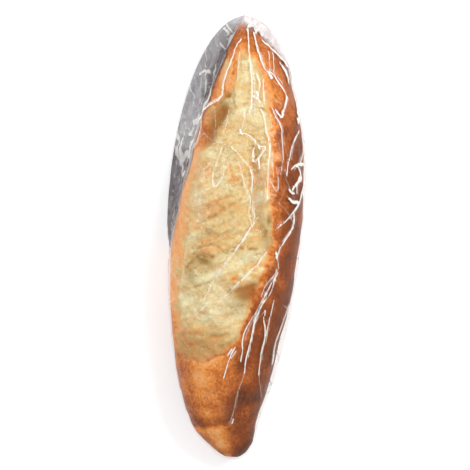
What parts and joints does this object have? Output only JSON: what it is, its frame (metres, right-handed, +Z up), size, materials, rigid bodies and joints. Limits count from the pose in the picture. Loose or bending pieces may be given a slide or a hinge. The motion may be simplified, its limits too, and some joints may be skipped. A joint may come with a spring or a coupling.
{
  "type": "bagged loaf",
  "caption": "Pointed white loaf with a wide opened cut along its top, lying on its base in a close-fitting clear bag with loose film down one flank.",
  "frame": {"origin": "middle of the box round the bagged loaf, at the height of the surface that it rests on", "axes": "+Y along the loaf to the end where the bag is gathered, +Z up through the opened cut, +X across it"},
  "size_m": [0.1188, 0.3844, 0.071],
  "materials": {
    "film": "thin clear glossy film, creased, with white fold lines",
    "crust": "baked bread: smooth brown crust, paler rough surface in the opened cut"
  },
  "bodies": {
    "root": {"bagged_loaf": "film"}
  },
  "joints": []
}
